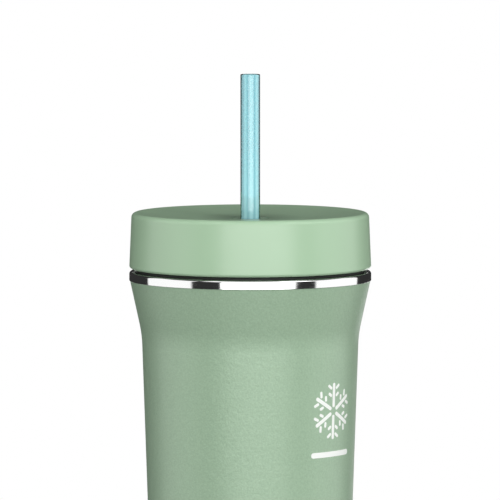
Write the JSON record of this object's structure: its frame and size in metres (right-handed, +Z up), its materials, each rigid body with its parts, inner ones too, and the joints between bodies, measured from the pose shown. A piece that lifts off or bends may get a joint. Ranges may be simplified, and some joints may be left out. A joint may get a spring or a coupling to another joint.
{
  "type": "insulated travel mug",
  "caption": "Double-walled steel travel mug with a flared mouth, a screw-in insulated lid and a sliding straw.",
  "frame": {"origin": "centre of the base, in the plane that the mug stands on", "axes": "+Z up along the mug's axis to the mouth and the straw; +X to the right and -Y towards the viewer"},
  "size_m": [0.0986, 0.0986, 0.2658],
  "materials": {
    "sage_powder_coat": "fine-textured matt powder coat on steel",
    "polished_steel": "bare stainless steel, polished",
    "satin_steel": "bare stainless steel, satin",
    "copper_foil": "bright foil",
    "seal_glass": "fused solder glass",
    "getter_alloy": "sintered, matt",
    "sage_lid_plastic": "satin moulded",
    "white_foam": null,
    "dark_silicone": "matt silicone",
    "sage_silicone": "matt silicone",
    "aqua_straw_plastic": "clear tinted plastic, glossy"
  },
  "bodies": {
    "cup": {"outer_shell": "sage_powder_coat", "mouth_ring": "polished_steel", "outer_base": "sage_powder_coat", "base_cover": "satin_steel", "vacuum_seal": "seal_glass", "inner_liner": "satin_steel", "liner_base": "satin_steel", "heat_shield_foil": "copper_foil", "getter_tray": "satin_steel", "getter_pill": "getter_alloy"},
    "lid_seal": {"lid_gasket": "dark_silicone"},
    "lid": {"lid_shell": "sage_lid_plastic", "lid_plug": "sage_lid_plastic", "lid_foam": "white_foam", "straw_grommet": "sage_silicone"},
    "straw": {"straw": "aqua_straw_plastic"}
  },
  "joints": [
    {"name": "lid_lift", "type": "slide", "parent": "cup", "child": "lid_seal", "axis": [0, 0, 1], "range_m": [0, 0.024]},
    {"name": "lid_turn", "type": "hinge", "parent": "lid_seal", "child": "lid", "pos_m": [0, 0, 0.18675], "axis": [0, 0, 1], "range_deg": [0, 1080]},
    {"name": "straw_slide", "type": "slide", "parent": "lid", "child": "straw", "axis": [0, 0, 1], "range_m": [0, 0.2]}
  ],
  "couplings": [
    {"joint": "lid_lift", "follows": "lid_turn", "m_per_rad": 0.0012732}
  ]
}
